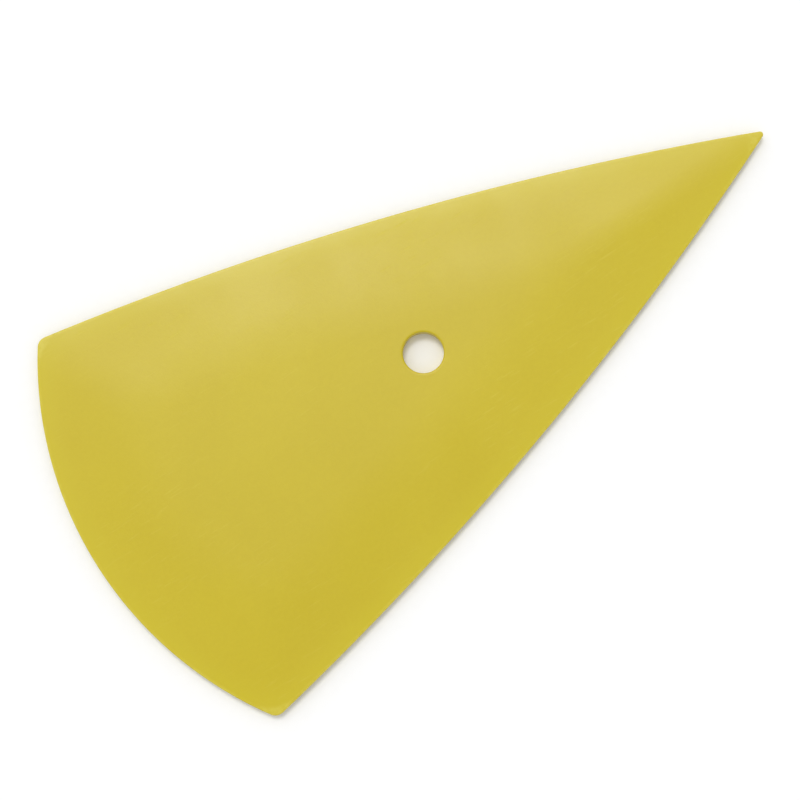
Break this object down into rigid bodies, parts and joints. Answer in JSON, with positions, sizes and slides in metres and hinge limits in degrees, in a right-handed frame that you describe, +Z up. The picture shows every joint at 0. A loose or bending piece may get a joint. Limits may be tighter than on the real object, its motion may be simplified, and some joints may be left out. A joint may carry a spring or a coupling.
{
  "type": "squeegee",
  "caption": "Pointed contour squeegee card for vinyl film: bowed edges bevelled down to thin rims, a flat middle for the grip and a round hang hole.",
  "frame": {"origin": "under the middle of the card's bounding box, on the surface that the card lies on", "axes": "+X along the card from the back edge to the tip, +Y across it, +Z up through its thickness"},
  "size_m": [0.165, 0.0926, 0.0032],
  "materials": {
    "yellow_plastic": "satin moulded surface, mustard yellow all through, a little glossier on the worn rims"
  },
  "bodies": {
    "root": {"squeegee_blade": "yellow_plastic"}
  },
  "joints": []
}
